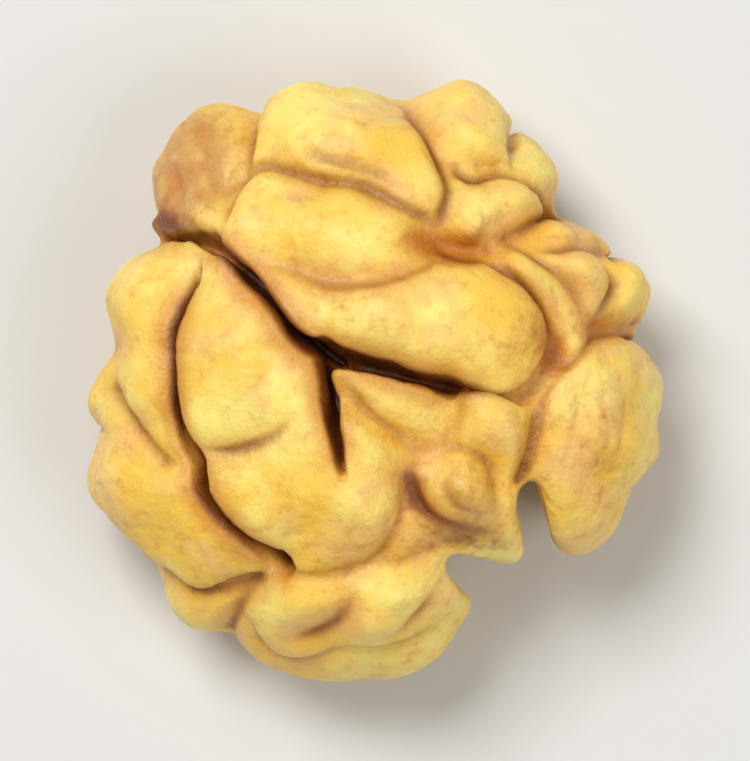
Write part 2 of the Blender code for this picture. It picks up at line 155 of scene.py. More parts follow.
CREASES = {
    "main_groove": Crease(
        [(-13.4, 8.9, 0.5), (-12.1, 8.6, 0.5), (-10.6, 8.1, 0.4), (-9.1, 7.5, 0.6), (-7.9, 6.7, 0.8),
         (-6.6, 5.4, 0.9), (-5.3, 3.9, 0.9), (-4.1, 2.5, 1.1), (-2.6, 1.4, 1.4), (-0.8, 0.8, 1.0),
         (1.3, 0.2, 0.8), (2.8, -0.5, 0.8), (4.2, -1.0, 0.8), (5.6, -1.2, 0.4), (7.0, -1.3, 0.3),
         (8.3, -0.9, 0.3), (9.2, 0.1, 0.3), (9.7, 1.1, 0.2)],
        depth=3.4, slit=0.27, roll=0.6, spread=0.8, dark=1.0, lean=0.2,
    ),
    "side_branch": Crease(
        [(-2.6, 1.4, 1.4), (-2.2, -0.4, 1.1), (-1.9, -2.1, 1.0), (-1.5, -4.0, 0.7), (-1.2, -5.2, 0.1)],
        depth=2.8, slit=0.22, roll=0.5, spread=0.7, dark=0.95, lean=-0.15,
    ),
    "left_groove": Crease(
        [(-9.8, 7.2, 0.0), (-9.7, 5.6, 0.4), (-10.2, 4.3, 0.8), (-10.7, 2.3, 1.0), (-10.8, 0.1, 1.0),
         (-10.8, -1.7, 1.0), (-10.2, -3.4, 0.8), (-9.4, -4.6, 0.5), (-9.0, -5.8, 0.2)],
        depth=2.0, slit=0.2, roll=0.6, spread=0.7, dark=0.85, lean=0.15,
    ),
    "lower_left_groove": Crease(
        [(-10.6, -2.6, 0.9), (-10.1, -3.6, 1.0), (-9.4, -4.7, 1.0), (-9.0, -5.9, 1.0), (-8.0, -7.4, 1.0),
         (-6.6, -9.0, 1.0), (-5.1, -10.5, 0.9)],
        depth=2.7, slit=0.19, roll=0.3, spread=0.5, dark=0.8,
    ),
    "lower_curve": Crease(
        [(-5.1, -10.5, 0.7), (-3.4, -10.8, 0.7), (-1.3, -10.6, 0.7), (0.3, -9.9, 0.7), (1.3, -8.5, 0.7),
         (1.8, -6.8, 0.9), (1.9, -5.4, 0.8), (1.6, -4.2, 0.0)],
        depth=1.0, roll=0.85, spread=0.8, dark=0.42,
    ),
    "left_fold": Crease(
        [(-10.0, -4.7, 0.4), (-11.6, -4.3, 0.8), (-13.3, -2.7, 0.9), (-14.9, -0.7, 1.0)],
        depth=1.0, roll=0.9, spread=0.96, dark=0.4,
    ),
    "middle_fold": Crease(
        [(-9.2, -3.8, 0.4), (-7.7, -3.9, 1.0), (-5.9, -3.3, 0.9), (-4.6, -2.5, 0.6), (-3.7, -1.4, 0.0)],
        depth=0.6, roll=0.5, spread=0.7, dark=0.45,
    ),
    "upper_fold": Crease(
        [(-7.4, 11.6, 0.8), (-6.2, 11.8, 0.9), (-4.8, 11.6, 1.0), (-2.7, 10.9, 1.0), (-0.4, 10.4, 1.0),
         (1.4, 9.6, 1.0), (2.9, 8.9, 1.0), (4.0, 8.3, 0.6)],
        depth=0.8, roll=0.85, spread=0.76, dark=0.42, lean=0.3,
    ),
    "upper_line": Crease(
        [(-4.6, 12.6, 0.0), (-3.4, 12.1, 0.8), (-1.8, 11.5, 0.9), (0.4, 10.9, 0.8), (1.6, 10.2, 0.1)],
        depth=0.4, roll=0.4, spread=0.45, dark=0.4,
    ),
    "top_notch": Crease(
        [(1.0, 17.0, 0.4), (1.6, 15.8, 0.6), (2.3, 14.4, 0.9), (3.1, 13.0, 1.0), (3.8, 11.8, 1.0),
         (4.1, 10.7, 0.9), (3.8, 9.6, 0.9), (3.4, 8.6, 0.9), (3.5, 7.6, 0.9), (4.2, 6.8, 1.0),
         (5.4, 6.5, 0.9), (6.6, 6.6, 0.8)],
        depth=1.0, roll=0.9, spread=0.88, dark=0.5, lean=-0.25,
    ),
    "upper_right_step": Crease(
        [(3.6, 6.8, 0.9), (2.7, 6.1, 1.1), (1.4, 5.5, 1.2), (-0.6, 5.1, 1.1), (-2.6, 5.2, 1.0),
         (-4.6, 5.9, 0.8), (-6.2, 6.5, 0.5)],
        depth=0.7, roll=1.25, spread=0.86, dark=0.42, lean=0.35,
    ),
    "left_lobe_line": Crease(
        [(-4.6, 1.6, 0.2), (-5.4, 0.6, 0.8), (-6.3, -0.7, 0.8), (-7.4, -1.8, 0.2)],
        depth=0.3, roll=0.25, spread=0.6, dark=0.15,
    ),
    "right_ridge": Crease(
        [(6.2, 7.4, 0.6), (6.6, 6.4, 0.9), (7.4, 5.2, 1.0), (8.7, 3.6, 1.0), (9.4, 2.1, 1.0),
         (9.8, 1.1, 1.0), (10.2, 0.6, 0.8), (11.2, 1.1, 0.6), (12.2, 2.1, 0.7), (13.8, 2.6, 0.7),
         (16.2, 3.1, 0.8)],
        depth=1.2, slit=0.08, roll=1.0, spread=0.84, dark=0.6, lean=-0.3,
    ),
    "right_fold": Crease(
        [(10.0, 0.9, 0.8), (9.4, 0.0, 0.8), (8.9, -1.5, 0.8), (8.7, -3.0, 0.9), (8.5, -4.4, 1.0),
         (8.3, -5.8, 1.2)],
        depth=1.0, roll=1.0, spread=0.84, dark=0.45, lean=0.3,
    ),
    "corner_fold": Crease(
        [(4.4, 12.4, 0.3), (5.2, 11.4, 0.9), (6.2, 11.1, 0.9), (7.3, 11.5, 0.8), (8.4, 11.2, 0.8),
         (9.4, 10.6, 0.9), (10.6, 9.9, 1.0), (11.6, 9.6, 1.0)],
        depth=0.8, slit=0.05, roll=0.7, spread=0.72, dark=0.5,
    ),
    "corner_line": Crease(
        [(8.6, 15.6, 0.9), (8.1, 14.0, 0.9), (8.1, 12.6, 0.8), (8.4, 11.4, 0.4)],
        depth=0.8, slit=0.05, roll=0.7, spread=0.8, dark=0.4, lean=-0.2,
    ),
    "knob_fold": Crease(
        [(3.5, 7.9, 0.9), (4.6, 7.4, 1.0), (6.0, 7.2, 0.9), (7.3, 7.4, 0.8), (8.6, 8.0, 0.8),
         (9.8, 8.9, 0.9), (10.8, 9.8, 1.0)],
        depth=0.9, slit=0.06, roll=0.8, spread=0.72, dark=0.55, lean=0.2,
    ),
    "inner_knob_fold": Crease(
        [(8.2, 8.0, 0.6), (8.9, 6.9, 0.9), (9.7, 5.9, 0.9), (10.6, 4.6, 0.9), (11.3, 3.2, 0.7),
         (11.6, 2.4, 0.3)],
        depth=0.8, slit=0.05, roll=0.8, spread=0.8, dark=0.45, lean=0.2,
    ),
    "knob_line": Crease(
        [(9.2, 7.0, 0.5), (10.2, 6.9, 0.9), (11.2, 7.2, 0.9), (12.2, 7.4, 0.9), (13.2, 7.8, 1.0)],
        depth=0.8, slit=0.05, roll=0.7, spread=0.7, dark=0.45, lean=-0.2,
    ),
    "outer_knob_fold": Crease(
        [(11.9, 7.4, 0.6), (12.5, 6.2, 0.9), (12.6, 5.0, 0.9), (12.3, 3.8, 0.8), (12.1, 2.7, 0.6)],
        depth=0.9, slit=0.05, roll=0.8, spread=0.8, dark=0.5, lean=-0.2,
    ),
    "right_lobe_inner_line": Crease(
        [(10.3, 0.2, 0.3), (10.7, -1.6, 0.9), (10.6, -3.4, 0.9), (10.2, -5.2, 0.3)],
        depth=0.4, roll=0.4, spread=0.8, dark=0.15,
    ),
    "right_lobe_outer_line": Crease(
        [(12.5, 0.6, 0.3), (13.1, -1.4, 0.8), (13.2, -3.4, 0.9), (12.6, -5.2, 0.3)],
        depth=0.4, roll=0.4, spread=0.7, dark=0.15,
    ),
    "centre_fold": Crease(
        [(-1.6, 0.2, 0.4), (-0.6, -1.2, 0.9), (0.6, -2.4, 1.0), (1.8, -3.4, 1.0), (2.6, -4.2, 0.7)],
        depth=0.7, slit=0.04, roll=0.85, spread=0.72, dark=0.35, lean=0.2,
    ),
    "nodule_ring": Crease(
        [(1.8, -4.4, 0.6), (2.6, -4.1, 0.9), (3.6, -3.9, 0.8), (4.6, -3.9, 0.8), (5.6, -4.3, 0.8),
         (6.4, -5.2, 0.8), (6.8, -6.6, 0.8), (7.0, -7.8, 0.7), (7.0, -8.8, 0.4)],
        depth=0.7, roll=0.7, spread=0.6, dark=0.42,
    ),
    "middle_step": Crease(
        [(4.6, -1.3, 0.6), (4.7, -2.2, 1.0), (4.6, -3.1, 1.0), (4.5, -3.9, 0.8)],
        depth=0.5, roll=0.55, spread=0.6, dark=0.3, lean=0.45,
    ),
    "nodule_foot": Crease(
        [(1.8, -4.4, 0.3), (2.1, -5.5, 1.0), (2.4, -6.5, 1.1), (3.0, -7.5, 0.9), (3.9, -8.2, 0.7),
         (5.2, -8.7, 0.6), (6.8, -8.9, 0.4)],
        depth=1.2, roll=1.0, spread=0.8, dark=0.75,
    ),
    "nodule_curl": Crease(
        [(4.6, -4.6, 0.3), (4.0, -5.3, 0.8), (4.0, -6.3, 0.9), (4.6, -7.2, 0.9), (5.6, -7.9, 0.5)],
        depth=0.5, roll=0.45, spread=0.45, dark=0.35, lean=0.15,
    ),
    "lower_left_fold": Crease(
        [(-6.7, -11.4, 0.8), (-7.8, -11.6, 0.9), (-9.0, -11.9, 0.9), (-10.4, -11.7, 1.0),
         (-12.0, -10.6, 1.0), (-13.2, -9.9, 1.0)],
        depth=1.0, slit=0.08, roll=0.9, spread=0.72, dark=0.5, lean=-0.25,
    ),
    "bottom_left_fold": Crease(
        [(-5.1, -10.5, 0.8), (-6.7, -11.4, 0.9), (-7.5, -12.6, 0.9), (-8.0, -14.6, 0.9)],
        depth=1.0, roll=0.8, spread=0.72, dark=0.42, lean=0.2,
    ),
    "bottom_top_fold": Crease(
        [(-1.3, -10.5, 0.4), (0.6, -10.5, 0.8), (2.2, -10.3, 0.8), (3.5, -9.9, 0.9), (4.4, -9.8, 1.0)],
        depth=0.6, roll=0.6, spread=0.8, dark=0.3,
    ),
    "bottom_low_fold": Crease(
        [(-6.6, -13.4, 0.6), (-5.8, -14.6, 0.9), (-4.4, -15.4, 0.9), (-3.0, -15.4, 0.7), (-1.6, -14.9, 0.6),
         (0.4, -14.9, 0.7), (2.4, -14.4, 0.7), (4.2, -13.6, 0.5)],
        depth=0.7, roll=0.8, spread=0.8, dark=0.38, lean=0.2,
    ),
    "bottom_dip": Crease(
        [(-4.2, -14.3, 0.4), (-3.1, -13.9, 1.0), (-2.1, -13.2, 1.0), (-1.4, -12.2, 0.8), (-1.2, -11.2, 0.2)],
        depth=0.6, roll=0.75, spread=0.8, dark=0.42,
    ),
    "bottom_right_line": Crease(
        [(0.8, -13.9, 0.5), (1.9, -13.3, 0.9), (2.9, -12.7, 0.9), (3.8, -11.9, 0.3)],
        depth=0.5, roll=0.55, spread=0.6, dark=0.35, lean=0.2,
    ),
    "tip_left_line": Crease(
        [(-11.9, 12.9, 0.3), (-11.1, 11.4, 0.9), (-10.8, 9.8, 0.4)],
        depth=0.4, roll=0.35, spread=0.55, dark=0.2, lean=0.15,
    ),
    "tip_right_line": Crease(
        [(-10.2, 14.3, 0.3), (-9.4, 12.4, 0.9), (-9.1, 10.6, 0.8), (-8.9, 9.2, 0.3)],
        depth=0.4, roll=0.4, spread=0.55, dark=0.25, lean=-0.15,
    ),
    "lower_lobe_line": Crease(
        [(-1.9, -5.6, 0.3), (-2.6, -7.0, 0.8), (-3.9, -8.3, 0.8), (-5.2, -9.0, 0.3)],
        depth=0.4, roll=0.35, spread=0.9, dark=0.2,
    ),
    "upper_lobe_line": Crease(
        [(-6.3, 10.2, 0.2), (-4.4, 10.4, 0.8), (-1.8, 9.7, 0.8), (0.6, 8.6, 0.3)],
        depth=0.4, roll=0.3, spread=0.6, dark=0.2, lean=0.15,
    ),
    "middle_lobe_line": Crease(
        [(1.5, 5.0, 0.3), (2.0, 3.6, 0.8), (2.5, 2.2, 0.8), (2.7, 1.0, 0.3)],
        depth=0.4, roll=0.3, spread=0.9, dark=0.15,
    ),
    "tip_fold": Crease(
        [(-8.3, 7.9, 0.5), (-7.9, 9.2, 0.9), (-7.6, 10.7, 1.0), (-7.2, 12.0, 1.0), (-6.7, 13.2, 1.0),
         (-6.1, 14.4, 0.8), (-5.5, 15.8, 0.6)],
        depth=0.8, roll=0.75, spread=0.7, dark=0.35, lean=-0.4,
    ),
}

SWELLINGS = [
    Swelling(4.0, 2.7, 5.0, 2.6, -12, 1.1),
    Swelling(-2.6, 8.0, 4.6, 2.2, -8, 0.8),
    Swelling(-2.8, -6.6, 4.6, 3.2, 10, 0.8),
    Swelling(-7.2, 1.2, 3.0, 5.0, 15, 0.6),
    Swelling(-2.6, 13.4, 5.0, 2.4, -10, 0.6),
    Swelling(12.6, -3.0, 2.4, 4.6, 8, 0.9),
    Swelling(13.4, 4.8, 2.2, 2.4, 0, 0.4),
    Swelling(1.8, -2.8, 3.4, 2.0, -30, -0.9),
    Swelling(7.0, 9.6, 4.0, 2.2, -20, -0.5),
    Swelling(9.2, 6.4, 1.6, 2.6, 30, -0.3),
    Swelling(5.0, -5.6, 3.8, 3.6, 0, -0.9),
    Swelling(4.7, -6.3, 2.5, 1.7, -50, 1.2),
    Swelling(5.4, -6.2, 1.7, 0.85, -62, 0.4),
    Swelling(4.8, -9.0, 2.2, 0.8, -6, -0.7),
    Swelling(7.6, -6.8, 0.8, 3.4, 5, 0.9),
    Swelling(6.5, -2.7, 1.5, 1.3, 0, 0.6),
    Swelling(0.2, -1.0, 2.6, 0.8, -38, 0.4),
    Swelling(0.2, -3.4, 2.2, 0.8, -42, 0.4),
    Swelling(-10.0, 11.6, 3.0, 3.0, 0, -0.7),
    Swelling(-12.8, 2.0, 2.0, 4.4, 0, 0.5),
    Swelling(-11.4, -7.6, 3.4, 3.0, 45, 0.5),
    Swelling(-0.8, -12.6, 5.4, 1.9, 0, 0.35),
    Swelling(-4.3, -12.3, 2.2, 1.5, 5, 0.5),
    Swelling(-0.2, -13.4, 0.9, 1.0, 0, 0.45),
    Swelling(1.0, -11.8, 1.6, 0.8, -15, 0.35),
    Swelling(3.0, -10.9, 2.0, 1.6, 0, -0.4),
    Swelling(-9.8, -12.6, 2.0, 1.6, -30, 0.2),
    Swelling(-10.6, -6.2, 2.4, 2.2, 45, 0.35),
    Swelling(5.2, 9.1, 1.6, 1.2, 0, 0.5),
    Swelling(8.3, 9.7, 1.8, 1.2, 15, 0.5),
    Swelling(10.7, 8.2, 1.2, 1.0, 0, 0.7),
    Swelling(8.3, 5.2, 2.0, 0.8, -45, 0.5),
    Swelling(11.1, 5.9, 1.2, 1.2, 20, 0.8),
    Swelling(13.8, 5.4, 1.0, 1.6, 0, 0.7),
    Swelling(5.7, 13.2, 2.2, 0.9, -30, 0.5),
    Swelling(4.7, 6.9, 1.7, 0.6, -10, -1.0),
    Swelling(10.9, 9.8, 1.0, 0.8, 0, -0.9),
    Swelling(12.3, 2.6, 1.6, 0.8, 15, -0.6),
    Swelling(6.2, 11.3, 1.2, 0.6, -10, -0.4),
]
# The swellings fade in over this height, half of it above the rim.
SWELLING_FADE = 4.0

# Creases that run down the side and under the rim: the direction of each, how far it slants and the
# share of its depth that it has at the rim.
SIDE_CREASES = [
    (86, -4, 0.3), (57, 5, 0.6), (42, -3, 0.8), (27, 4, 0.8), (10, -5, 1.0), (-9, 4, 0.7),
    (-24, -3, 0.7), (-92, 4, 0.3), (-78, -5, 0.5), (-118, 4, 0.4), (-137, -5, 0.4), (-154, 3, 0.6),
    (-168, -4, 0.6), (173, 5, 0.5), (158, -3, 1.0), (145, 3, 0.8), (129, -5, 0.3), (113, 4, 0.5),
    (99, -3, 0.4),
]
# Their mean top in degrees above the rim, how far the tops differ and how fast that changes.
SIDE_TOP = 16
SIDE_TOP_VARIATION = 10
SIDE_TOP_TURN = 2.1
# Their second point: how far under the top it is, with its part of the slant and of the rim's share.
SIDE_TOP_LENGTH = 10
SIDE_TOP_SLANT = 0.2
SIDE_TOP_SHARE = 0.9
# Their points from the rim on down: the part of the slant, the degrees above the rim, and a share
# of the depth that is the third value plus the fourth times the share at the rim.
SIDE_STEPS = [
    (0.6, -8, 0.0, 1.0), (1.0, -28, 0.5, 0.5), (1.6, -50, 1.2, 0.0), (2.0, -66, 0.9, 0.0),
    (2.0, -80, 0.0, 0.0),
]
# A side crease with more than this share at the rim is open, by this half-width.
SIDE_OPEN_SHARE = 0.5
SIDE_SLIT = 0.16

# Patches of colour on the domed side: ochre ones, partly the skin's own ochre and partly painted shade in
# its dips, and rust ones, painted shadow by the nodule and the darker skin at the tip. They fade in from
# this height, over the next.
PATCH_LOW = 4.0
PATCH_FADE = 3.0
OCHRE_AND_SHADE_PATCHES = [
    Swelling(4.4, 7.1, 2.2, 1.0, -8, 1.1),
    Swelling(10.8, 9.8, 1.5, 1.0, 0, 0.9),
    Swelling(12.2, 3.0, 1.8, 0.9, 10, 0.7),
    Swelling(9.7, 1.5, 0.8, 1.6, 20, 0.9),
    Swelling(4.9, -6.4, 2.8, 2.2, -50, 0.55),
    Swelling(12.2, -4.4, 2.4, 4.4, 8, 0.45),
    Swelling(9.0, -1.6, 0.8, 3.0, 0, 0.35),
    Swelling(-2.0, -9.0, 2.8, 1.2, 5, 0.3),
    Swelling(2.2, -9.4, 2.4, 0.9, 5, 0.5),
    Swelling(7.9, 2.4, 1.6, 2.2, -20, 0.4),
    Swelling(-1.2, 3.6, 2.8, 1.2, -28, 0.35),
    Swelling(-5.2, 4.6, 0.8, 3.2, 38, 0.4),
    Swelling(-7.6, -9.4, 3.0, 1.6, -45, 0.3),
    Swelling(2.2, 7.4, 1.2, 1.4, 20, 0.5),
    Swelling(-10.6, 11.0, 2.6, 3.8, 0, 0.3),
]
# Painted shadow under the nodule and in its crease, and darker skin at the nut's tip.
RUST_AND_SHADOW_PATCHES = [
    Swelling(5.0, -8.8, 2.8, 0.8, -6, 0.6),
    Swelling(2.2, -6.3, 0.7, 1.2, 10, 0.9),
    Swelling(-11.7, 8.7, 1.8, 0.8, -20, 1.1),
    Swelling(-8.6, 7.4, 1.6, 0.5, -35, 0.5),
]


class Hollow(NamedTuple):
    """An egg-shaped space that is cut away: its centre, half sizes, turn about +Z and edge rounding."""

    centre: tuple
    half_sizes: tuple
    yaw: float
    rounding: float


# The recess under the kernel and the two hollows at its sides.
UNDER_HOLLOWS = [
    Hollow((0.0, 0.0, -2.0), (11.2, 11.8, 6.4), 0, 1.6),
    Hollow((5.3, 5.3, -0.6), (8.8, 5.4, 9.4), -45, 2.0),
    Hollow((-5.4, -5.4, -0.6), (8.8, 5.4, 9.4), -45, 2.0),
]
# The two notches in the rim, and the space under the tongue between them.
NOTCHES = [
    Hollow((9.0, -9.3, 3.0), (1.05, 4.1, 16.0), 11, 1.7),
    Hollow((7.3, -11.6, 3.0), (4.2, 1.35, 16.0), -24, 1.7),
    Hollow((7.7, -9.4, 0.0), (1.9, 2.9, 4.8), 10, 1.4),
]
# The rounding of the edge where the kernel stands on the floor.
FOOT_ROUNDING = 0.3


class Lump(NamedTuple):
    """An egg-shaped piece of flesh: its centre, half sizes and turn about +Z."""

    centre: tuple
    half_sizes: tuple
    yaw: float


# The bridge between the two hollows, its ends, and the small pointed shoot at the nut's tip.
LUMPS = [
    Lump((-0.5, 0.5, 3.9), (9.5, 1.2, 1.5), -45),
    Lump((-7.2, 6.6, 3.4), (2.8, 2.1, 2.0), -30),
    Lump((6.2, -5.8, 3.4), (3.0, 2.3, 1.8), -55),
    Lump((0.4, -0.2, 3.6), (2.2, 1.7, 1.6), 20),
    Lump((-11.3, 8.4, 5.9), (1.3, 0.7, 0.9), 150),
]
LUMP_ROUNDING = 0.7

# Folds that hang inside the rim: how many, how far out and their mean half sizes.
INNER_FOLDS = 15
INNER_FOLD_RADIUS = 10.6
INNER_FOLD_HALF_SIZES = (3.2, 1.6, 3.0)
# How they differ: how far each is moved round as a part of their spacing, moved out, raised, scaled
# and turned in degrees.
INNER_FOLD_SEED = 5
INNER_FOLD_ROUND = 0.25
INNER_FOLD_OUT = (-0.9, 0.7)
INNER_FOLD_HEIGHT = (3.2, 4.6)
INNER_FOLD_SCALE = (0.8, 1.2)
INNER_FOLD_TURN = 18

# The warps that make the lobes uneven: wavelength, amplitude and first seed.
WARPS = [(8.0, 0.55, 1), (4.2, 0.30, 11)]
# The wrinkles of the skin: wavelength, height and seed.
WRINKLES = [(3.0, 0.20, 31), (1.3, 0.06, 32), (0.65, 0.02, 33)]
# Thin random lines pressed in where a noise passes through zero: wavelength, depth and seed.
LINES = [(3.4, 0.05, 41), (1.7, 0.025, 42)]
LINE_WIDTH = 0.09
# The folds of the underside: wavelength, depth and seed, how wide their creases are, and how they
# are bent: wavelength, amplitude and first seed.
UNDER_FOLDS = [(6.0, 1.2, 51), (3.0, 0.5, 52)]
UNDER_FOLD_WIDTH = 0.24
UNDER_FOLD_BEND = (4.5, 3.0, 61)
# They end over the second of these shares of the rim's radius, from the first one on, and fade in
# as the surface turns down, at this rate.
UNDER_EDGE = 0.72
UNDER_EDGE_FADE = 0.15
UNDER_FACING = 1.5
# How brown they are painted for each mm of depth, partly their skin and partly painted shade, and how much
# narrower that brown is than the crease.
UNDER_STAIN_AND_SHADE = 0.5
UNDER_STAIN_AND_SHADE_NARROWING = 4
# Warps and wrinkles fade in over this height above the floor.
FOOT_FADE = 2.0
# The lattice of random values that a noise comes from repeats after this many.
NOISE_LATTICE = 24
# How often the surface is averaged to tell its small grooves and ridges, and its broad valleys.
NEAR_ROUNDS = 12
FAR_ROUNDS = 60
# The lobe at the nut's tip: its middle, its half sizes, and the shares of them where its peach
# colour starts to fade and over which it does.
TIP_CENTRE = (-10.9, 12.0)
TIP_SIZES = (4.0, 4.4)
TIP_FULL = 0.5
TIP_FADE = 0.8
# Down the lobe's side the colour falls to this share, over the last height from the one before it.
TIP_FOOT = 0.35
TIP_LOW = 3.0
TIP_RISE = 6.0


def srgb(red, green, blue):
    """A shader colour from 0 to 255 display values."""
    shares = np.array([red, green, blue]) / 255
    linear = np.where(shares <= 0.04045, shares / 12.92, ((shares + 0.055) / 1.055) ** 2.4)
    return (*linear.tolist(), 1.0)


PALE_YELLOW = srgb(255, 230, 124)
WARM_YELLOW = srgb(248, 202, 76)
ORANGE = srgb(204, 126, 28)
RUST = srgb(140, 76, 20)
DARK_BROWN = srgb(48, 16, 8)
PEACH = srgb(192, 126, 68)
PALE_PEACH = srgb(246, 196, 116)
OCHRE = srgb(198, 122, 34)
RED_BROWN = srgb(126, 58, 22)


# The layers of colour over the skin's warm yellow, from the lowest up: the pattern, its values where
# the colour starts and where it is complete, its strength there, and the colour.
SKIN_LAYERS = [
    ("broad", 0.38, 0.66, 1.0, PALE_YELLOW),
    ("patchy", 0.46, 0.66, 0.75, PALE_PEACH),
    ("tip", 0.05, 1.1, 0.8, PEACH),
    ("mottle", 0.46, 0.78, 0.36, ORANGE),
    # Painted highlight: paler yellow on the tops of small ridges.
    ("groove", -0.02, -0.12, 0.5, PALE_YELLOW),
    # Painted shade: orange in the broad valleys.
    ("valley", 0.0, 0.3, 0.45, ORANGE),
    # Painted shade: orange on the flesh around the creases.
    ("crease_shade", 0.05, 0.7, 0.7, ORANGE),
    # Partly painted shade in the dips and hollows, partly the skin's own ochre.
    ("ochre_and_shade", 0.05, 1.1, 1.0, OCHRE),
    # Painted shade: rust in the small grooves.
    ("groove", 0.05, 0.16, 0.6, RUST),
    # Painted shadow by the nodule and in its crease, and the darker skin at the tip.
    ("rust_and_shadow", 0.05, 1.1, 1.0, RED_BROWN),
    # The creases' brown, with painted shade darkest deep inside them.
    ("stain_and_shade", 0.12, 0.6, 1.0, RUST),
    ("stain_and_shade", 0.5, 0.95, 1.0, DARK_BROWN),
    ("grain", 0.62, 0.75, 0.1, RUST),
    ("veins", 0.0, 1.0, 0.05, RUST),
]
# The skin's noises: how many waves a mm, their detail and roughness.
SKIN_NOISES = {
    "broad": (0.22, 3.0, 0.5),
    "patchy": (0.31, 4.0, 0.5),
    "mottle": (1.2, 5.0, 0.65),
    "dimples": (2.5, 4.0, 0.6),
    "grain": (5.0, 3.0, 0.6),
}
# Streaks run from the nut's tip to its other end: their noise, turn and how far it is drawn out.
STREAK_NOISE = (2.2, 4.0, 0.6)
STREAK_TURN = math.radians(45)
STREAK_SCALE = 0.3
# The net of veins: its cells a mm, the lines' width as a part of a cell, and how far and how fast
# they waver.
VEIN_SCALE = 0.55
VEIN_WIDTH = 0.05
VEIN_WAVER = 1.6
VEIN_WAVER_SCALE = 0.9
VEIN_WAVER_DETAIL = 3.0
# How much the mottle shifts the edge of a patch.
PATCH_UNEVENNESS = 0.9
# The skin's fine relief: how much of each pattern, how strong it is and its height.
RELIEF = {"dimples": 1.0, "grain": 0.3, "streaks": 0.8, "veins": -0.1}
RELIEF_STRENGTH = 0.45
RELIEF_HEIGHT = 0.16 * MM
# The gloss varies with the mottle. Light goes this far into the flesh, red light farthest.
ROUGHNESS = 0.28
ROUGHNESS_VARIATION = 0.3
SUBSURFACE = 0.25
SUBSURFACE_RADIUS = (1.0, 0.5, 0.2)
SUBSURFACE_DEPTH = 0.9 * MM
# The colour sockets of a Mix node. Its other sockets, for numbers and vectors, have the same names.
MIX_INPUTS = (6, 7)
MIX_RESULT = 2


# The square studio lamps: name, place and size in metres, and power in watts.
LAMPS = [("key", (-0.40, 0.54, 1.00), 0.55, 11.5), ("fill", (0.80, -0.40, 1.00), 0.80, 5.5)]
WORLD_COLOUR = (1.0, 0.98, 0.95, 1.0)
WORLD_STRENGTH = 0.30
FLOOR_HALF_WIDTH = 1.5
FLOOR_COLOUR = (0.72, 0.71, 0.69, 1.0)
FLOOR_ROUGHNESS = 0.7
# The camera is far enough away to keep the perspective weak, and its picture is this high.
CAMERA_DISTANCE = 0.45
CAMERA_FIELD = 0.0415
CAMERA_SENSOR = 36.0
CAMERA_CLIP = 0.01

# A distance beyond all others, and a slope that keeps a division from zero.
FAR = 1e3
TINY = 1e-6


def inner_folds():
    """Folds all round the inside of the rim, no two alike."""
    random = np.random.default_rng(INNER_FOLD_SEED)
    for i in range(INNER_FOLDS):
        azimuth = 360 * (i + random.uniform(-INNER_FOLD_ROUND, INNER_FOLD_ROUND)) / INNER_FOLDS
        out = INNER_FOLD_RADIUS + random.uniform(*INNER_FOLD_OUT)
        around = math.radians(azimuth)
        centre = (out * math.cos(around), out * math.sin(around), random.uniform(*INNER_FOLD_HEIGHT))
        half_sizes = tuple(size * random.uniform(*INNER_FOLD_SCALE) for size in INNER_FOLD_HALF_SIZES)
        yield Lump(centre, half_sizes, azimuth + random.uniform(-INNER_FOLD_TURN, INNER_FOLD_TURN))


def side_crease(index, azimuth, slant, at_rim):
    """A crease from above the rim, at its own height, to under it."""
    top = SIDE_TOP + SIDE_TOP_VARIATION * math.sin(SIDE_TOP_TURN * index)
    path = [
        (azimuth, top, 0.0),
        (azimuth + SIDE_TOP_SLANT * slant, top - SIDE_TOP_LENGTH, SIDE_TOP_SHARE * at_rim),
    ]
    for slanted, latitude, fixed, shared in SIDE_STEPS:
        path.append((azimuth + slanted * slant, latitude, fixed + shared * at_rim))
    slit = SIDE_SLIT if at_rim > SIDE_OPEN_SHARE else 0.0
    return Crease(path, depth=1.6, roll=1.1, spread=1.4, dark=0.5, slit=slit)


def smooth_step(t):
    t = np.clip(t, 0.0, 1.0)
    return t * t * (3.0 - 2.0 * t)


def smooth_min(a, b, rounding):
    h = np.maximum(rounding - np.abs(a - b), 0.0) / rounding
    return np.minimum(a, b) - h * h * rounding * 0.25


def smooth_max(a, b, rounding):
    return -smooth_min(-a, -b, rounding)


def rim_table():
    """(directions in radians, radii), one a degree, rounded so that no lobe has a corner."""
    directions = np.arange(-180, 181)
    degrees, radii = np.array(RIM, float).T
    lobed = np.interp(directions, degrees, radii)
    reach = RIM_ROUNDING_REACH
    weights = np.exp(-0.5 * (np.arange(-reach, reach + 1) / RIM_ROUNDING) ** 2)
    around = np.concatenate([lobed[-reach - 1 : -1], lobed, lobed[1 : reach + 1]])
    return np.radians(directions), np.convolve(around, weights / weights.sum(), "valid")


RIM_DIRECTIONS, RIM_RADII = rim_table()


def rim_radius(x, y):
    """The rim's radius on the way to x, y: an oval inside, lobed near the edge."""
    direction = np.arctan2(y, x)
    oval = 1.0 / np.hypot(np.cos(direction) / HALF_WIDTH, np.sin(direction) / HALF_LENGTH)
    share = smooth_step((np.hypot(x, y) / oval - RIM_STARTS) / (RIM_FULL - RIM_STARTS))
    return oval + (np.interp(direction, RIM_DIRECTIONS, RIM_RADII) - oval) * share


def piled(swellings, x, y):
    """The sum of the swellings' heights at x, y."""
    raised = 0.0
    for s in swellings:
        yaw = math.radians(s.yaw)
        u = ((x - s.x) * math.cos(yaw) + (y - s.y) * math.sin(yaw)) / s.half_length
        v = ((y - s.y) * math.cos(yaw) - (x - s.x) * math.sin(yaw)) / s.half_width
        raised = raised + s.height * np.exp(-u * u - v * v)
    return raised


